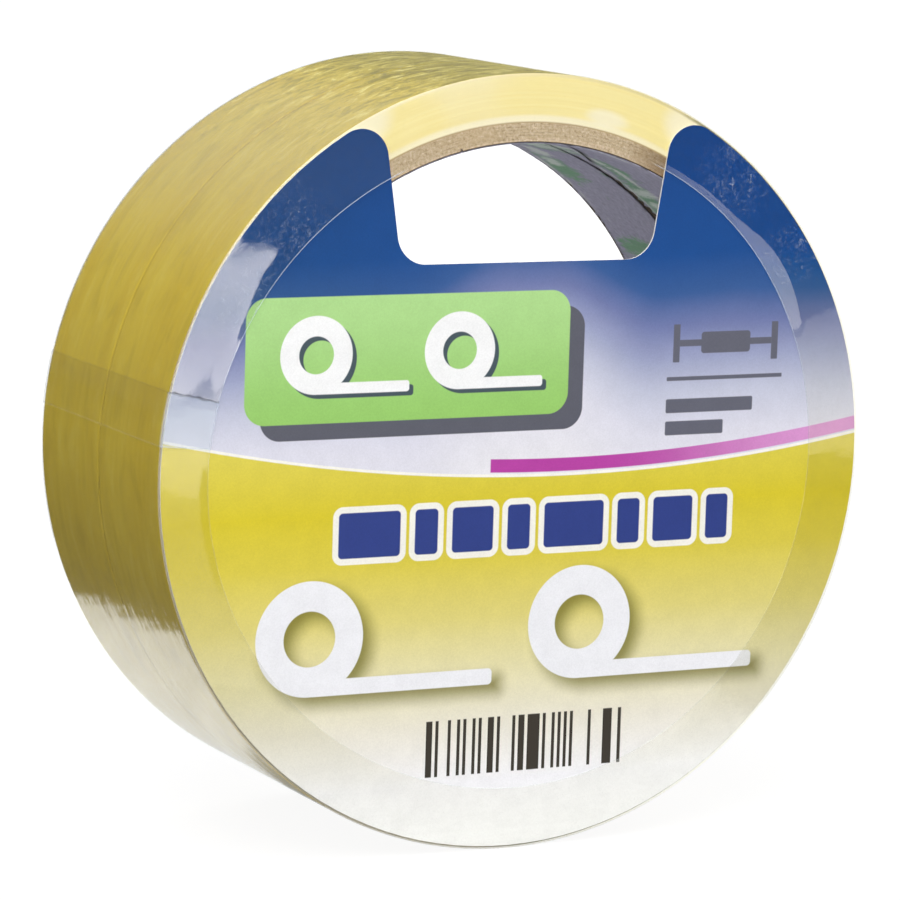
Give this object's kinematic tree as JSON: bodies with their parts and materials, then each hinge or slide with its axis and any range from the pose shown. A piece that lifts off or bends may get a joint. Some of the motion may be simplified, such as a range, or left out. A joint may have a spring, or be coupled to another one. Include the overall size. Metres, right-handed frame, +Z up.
{
  "type": "adhesive tape twin pack",
  "caption": "Shrink-wrapped pack of adhesive tape rolls on spiral board cores, with a printed card disc whose window lets the pack hang on a shop peg.",
  "frame": {"origin": "on the ground under the middle of the pack, which stands on its rim", "axes": "+X across the pack, to the right as the card is read; +Y along the cores' axis, away from the card, out of the open back; +Z up"},
  "size_m": [0.0932, 0.0366, 0.0931],
  "materials": {
    "printed_card": "coated card printed deep blue to white with yellow and magenta waves, under gloss varnish",
    "clear_film": "clear shrunk film, glossy, with fine wrinkles and scuffs",
    "clear_tape": "clear yellowish tape wound tight, with fine streaks round the rim and a pale edge",
    "liner_paper": "rough printed paper, purple-grey with green patches",
    "kraft_board": "kraft board, matt and fibrous"
  },
  "bodies": {
    "root": {"label_card": "printed_card", "shrink_sleeve": "clear_film", "front_tape": "clear_tape", "back_tape": "clear_tape", "front_core_liner": "liner_paper", "back_core_liner": "liner_paper", "front_core_ply_1": "kraft_board", "front_core_ply_2": "kraft_board", "front_core_ply_3": "kraft_board", "front_core_ply_4": "kraft_board", "front_core_ply_5": "kraft_board", "front_core_ply_6": "kraft_board", "back_core_ply_1": "kraft_board", "back_core_ply_2": "kraft_board", "back_core_ply_3": "kraft_board", "back_core_ply_4": "kraft_board", "back_core_ply_5": "kraft_board", "back_core_ply_6": "kraft_board"}
  },
  "joints": []
}
